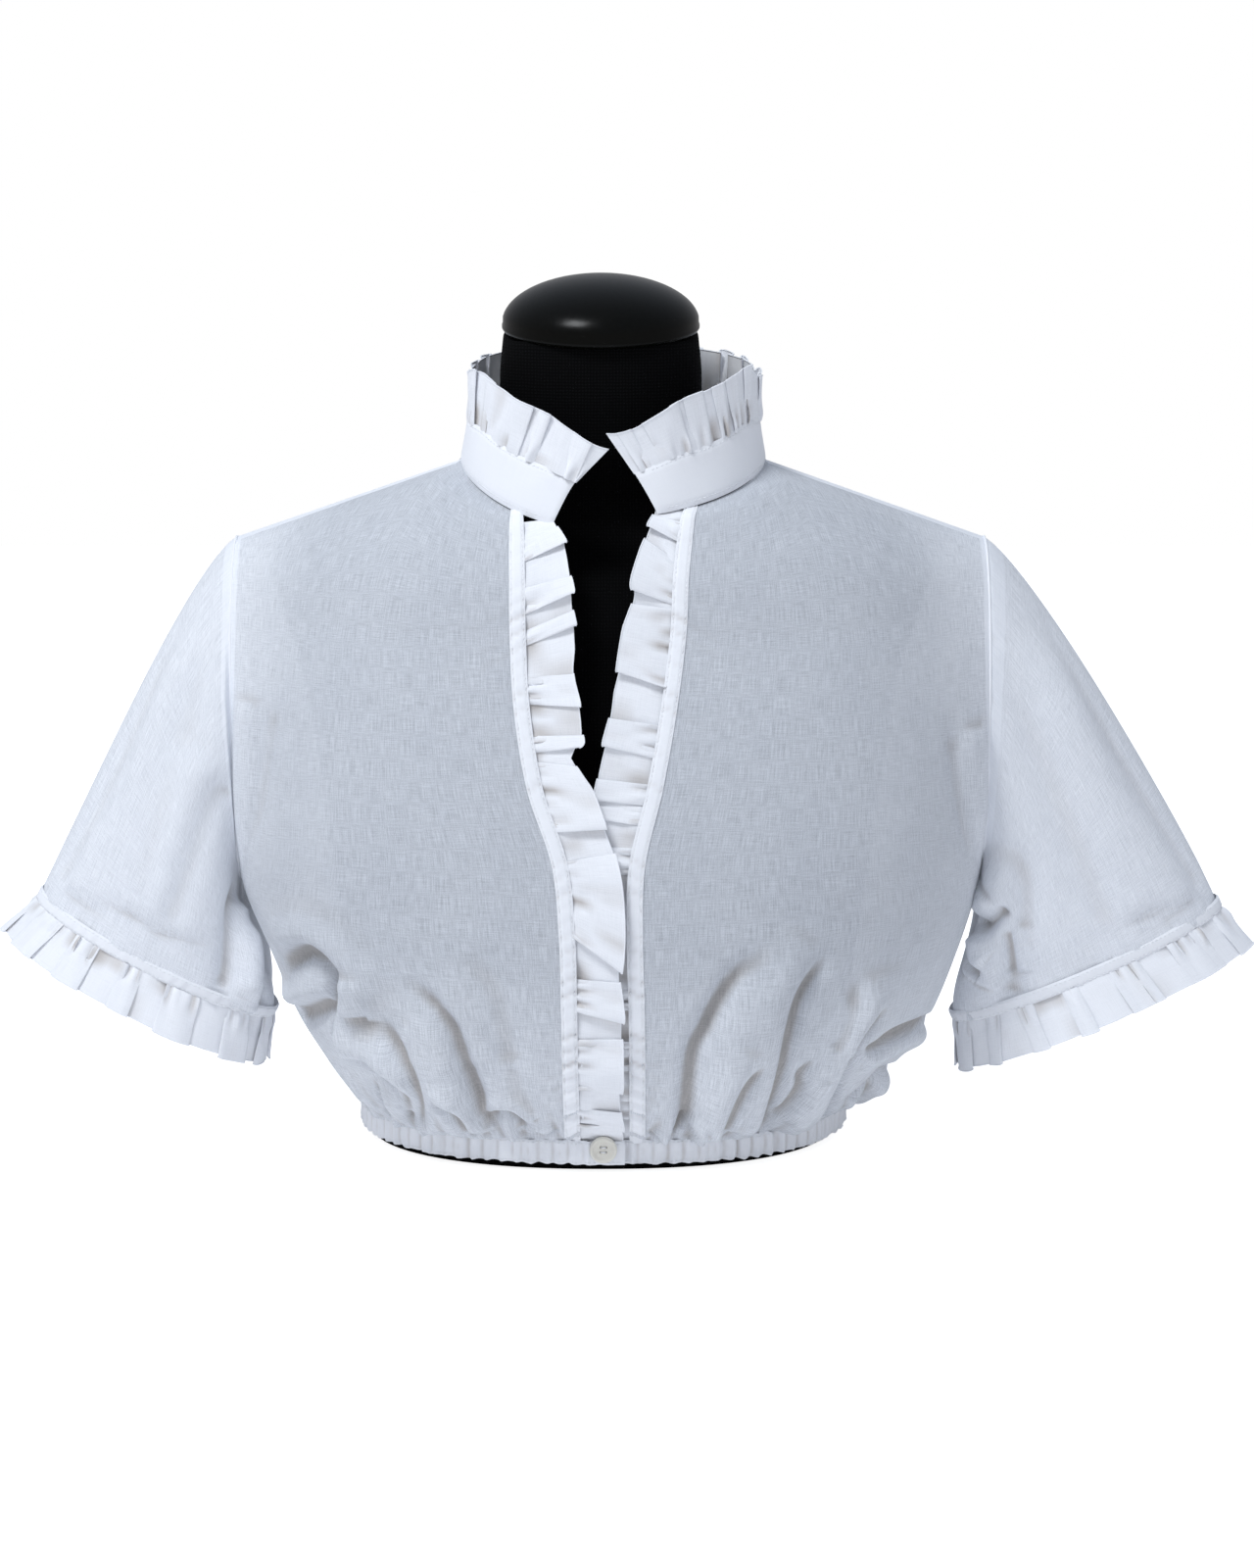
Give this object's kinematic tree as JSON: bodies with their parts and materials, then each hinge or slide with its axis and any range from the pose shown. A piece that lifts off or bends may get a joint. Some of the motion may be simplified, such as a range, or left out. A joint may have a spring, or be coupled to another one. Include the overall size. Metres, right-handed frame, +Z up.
{
  "type": "dirndl blouse on dress form",
  "caption": "Short white cotton dirndl blouse with a frilled stand collar, pleated front frills and wide frilled sleeves, on a black limbless dress form.",
  "frame": {"origin": "centre of the dress form's flat base, on the surface that it stands on", "axes": "+Z up through the neck, -Y out of the front opening, +X to the wearer's left"},
  "size_m": [0.6921, 0.2458, 0.4668],
  "materials": {
    "batiste": "sheer white cotton batiste, one layer",
    "doubled_batiste": "white cotton batiste, doubled or gathered",
    "button_plastic": "cream, semi-gloss",
    "jersey": "matt black jersey cover",
    "satin_plastic": "satin black"
  },
  "bodies": {
    "root": {"front_right": "batiste", "front_left": "batiste", "back": "batiste", "sleeve_right": "batiste", "sleeve_left": "batiste", "edge_band_right": "doubled_batiste", "edge_band_left": "doubled_batiste", "placket_frill_right": "doubled_batiste", "placket_frill_left": "doubled_batiste", "collar_stand": "doubled_batiste", "collar_frill": "doubled_batiste", "cuff_band_right": "doubled_batiste", "cuff_band_left": "doubled_batiste", "cuff_frill_right": "doubled_batiste", "cuff_frill_left": "doubled_batiste", "hem_casing": "doubled_batiste", "button": "button_plastic", "form_torso": "jersey", "neck_cap": "satin_plastic"}
  },
  "joints": []
}
